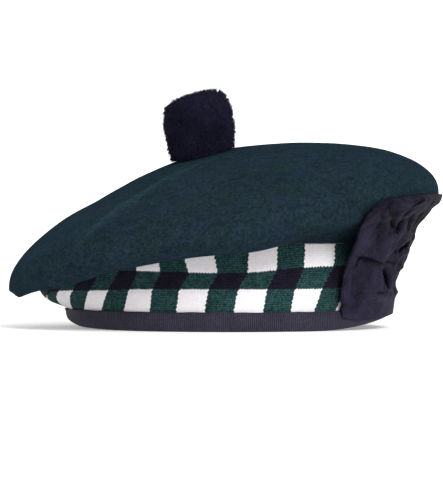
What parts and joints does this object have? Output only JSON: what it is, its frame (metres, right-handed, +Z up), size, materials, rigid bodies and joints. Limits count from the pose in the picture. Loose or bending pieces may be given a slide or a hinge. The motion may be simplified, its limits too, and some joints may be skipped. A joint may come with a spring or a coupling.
{
  "type": "balmoral bonnet",
  "caption": "Soft flat-topped felt bonnet with a diced knitted headband, a bound edge, a ribbon cockade on the wearer's left and a wool toorie.",
  "frame": {"origin": "on the floor below the middle of the whole bonnet's outline, standing on its bound edge", "axes": "+Z up; -Y is the side that faces the camera; +X is the wearer's left, where the cockade is, and the crown is drawn down towards -X"},
  "size_m": [0.2515, 0.2616, 0.1383],
  "materials": {
    "felt": "milled wool, matt",
    "knit": "knitted wool in white, black and green dice",
    "petersham": "ribbed ribbon, low sheen",
    "ribbon": "ribbed ribbon, soft sheen",
    "wool": "cut wool pile, matt"
  },
  "bodies": {
    "root": {"crown": "felt", "diced_band": "knit", "binding": "petersham", "cockade": "ribbon", "toorie": "wool"}
  },
  "joints": []
}
